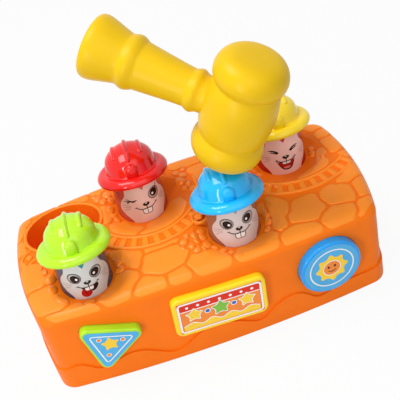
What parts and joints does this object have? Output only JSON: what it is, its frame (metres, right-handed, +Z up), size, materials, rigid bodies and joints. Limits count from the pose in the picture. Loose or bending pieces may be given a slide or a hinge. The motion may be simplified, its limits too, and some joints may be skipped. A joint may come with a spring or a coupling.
{
  "type": "whack-a-mole toy",
  "caption": "Tabletop hammer game: a moulded base with spring-loaded moles in hard hats, two push buttons, a storage well and a toy hammer.",
  "frame": {"origin": "on the table, under the centre of the base", "axes": "+Z up, +X along the base to the player's right, the player sits on the -Y side"},
  "size_m": [0.3, 0.1547, 0.262],
  "materials": {
    "housing_orange": "moulded, satin gloss",
    "cover_orange": "moulded, fine grain",
    "black_rubber": "matt",
    "zinc_steel": "zinc plated",
    "spring_steel": "drawn wire",
    "contact_metal": "nickel plated",
    "white_plastic": "moulded, matt",
    "black_plastic": "moulded, matt",
    "board_green": "solder mask",
    "lamp_clear": "clear lens on a small board",
    "green_head": "translucent, printed face",
    "red_head": "translucent, printed face",
    "blue_head": "translucent, printed face",
    "yellow_head": "translucent, printed face",
    "green_hat": "high gloss, slightly translucent",
    "red_hat": "high gloss, slightly translucent",
    "blue_hat": "high gloss, slightly translucent",
    "yellow_hat": "high gloss, slightly translucent",
    "button_blue": "gloss",
    "button_lime": "gloss",
    "label_blue": "printed film",
    "plate_yellow": "gloss",
    "plate_label_red": "printed film",
    "battery_can": "printed sleeve",
    "speaker_black": "black cone on a steel basket",
    "hammer_yellow": "blow moulded, satin gloss"
  },
  "bodies": {
    "base": {"battery_1": "battery_can", "battery_2": "battery_can", "battery_3": "battery_can", "battery_box": "cover_orange", "battery_contacts": "contact_metal", "battery_door": "cover_orange", "battery_door_screw": "zinc_steel", "blue_mole_spring": "spring_steel", "blue_mole_switch": "board_green", "bottom_cover": "cover_orange", "green_mole_spring": "spring_steel", "green_mole_switch": "board_green", "housing_screws": "zinc_steel", "label_plate": "plate_yellow", "main_board": "board_green", "main_board_screws": "zinc_steel", "plate_label": "plate_label_red", "power_switch": "black_plastic", "red_mole_spring": "spring_steel", "red_mole_switch": "board_green", "round_button_switch": "board_green", "rubber_feet": "black_rubber", "speaker": "speaker_black", "speaker_screws": "zinc_steel", "top_housing": "housing_orange", "triangle_button_switch": "board_green", "yellow_mole_spring": "spring_steel", "yellow_mole_switch": "board_green"},
    "green_mole": {"green_mole_head": "green_head", "green_hard_hat": "green_hat", "green_mole_plunger": "white_plastic", "green_mole_lamp": "lamp_clear"},
    "red_mole": {"red_mole_head": "red_head", "red_hard_hat": "red_hat", "red_mole_plunger": "white_plastic", "red_mole_lamp": "lamp_clear"},
    "blue_mole": {"blue_mole_head": "blue_head", "blue_hard_hat": "blue_hat", "blue_mole_plunger": "white_plastic", "blue_mole_lamp": "lamp_clear"},
    "yellow_mole": {"yellow_mole_head": "yellow_head", "yellow_hard_hat": "yellow_hat", "yellow_mole_plunger": "white_plastic", "yellow_mole_lamp": "lamp_clear"},
    "round_button": {"round_button": "button_blue", "round_button_label": "label_blue", "round_switch_plunger": "black_plastic"},
    "triangle_button": {"triangle_button": "button_lime", "triangle_button_label": "label_blue", "triangle_switch_plunger": "black_plastic"},
    "power_knob": {"power_switch_knob": "white_plastic"},
    "hammer": {"hammer": "hammer_yellow"}
  },
  "joints": [
    {"name": "green_mole_press", "type": "slide", "parent": "base", "child": "green_mole", "axis": [0, 0, 1], "range_m": [-0.006, 0], "stiffness_N_per_m": 250, "springref_m": 0.012, "deforming": ["green_mole_spring"]},
    {"name": "red_mole_press", "type": "slide", "parent": "base", "child": "red_mole", "axis": [0, 0, 1], "range_m": [-0.006, 0], "stiffness_N_per_m": 250, "springref_m": 0.012, "deforming": ["red_mole_spring"]},
    {"name": "blue_mole_press", "type": "slide", "parent": "base", "child": "blue_mole", "axis": [0, 0, 1], "range_m": [-0.006, 0], "stiffness_N_per_m": 250, "springref_m": 0.012, "deforming": ["blue_mole_spring"]},
    {"name": "yellow_mole_press", "type": "slide", "parent": "base", "child": "yellow_mole", "axis": [0, 0, 1], "range_m": [-0.006, 0], "stiffness_N_per_m": 250, "springref_m": 0.012, "deforming": ["yellow_mole_spring"]},
    {"name": "round_button_press", "type": "slide", "parent": "base", "child": "round_button", "axis": [0.0787, -0.9969, 0], "range_m": [-0.0022, 0], "stiffness_N_per_m": 600, "springref_m": 0.002},
    {"name": "triangle_button_press", "type": "slide", "parent": "base", "child": "triangle_button", "axis": [-0.0802, -0.9968, 0], "range_m": [-0.0022, 0], "stiffness_N_per_m": 600, "springref_m": 0.002},
    {"name": "power_switch_slide", "type": "slide", "parent": "base", "child": "power_knob", "axis": [1, 0, 0], "range_m": [0, 0.004]},
    {"name": "hammer_lift", "type": "slide", "parent": "base", "child": "hammer", "axis": [0, 0, 1], "range_m": [0, 0.06]}
  ]
}
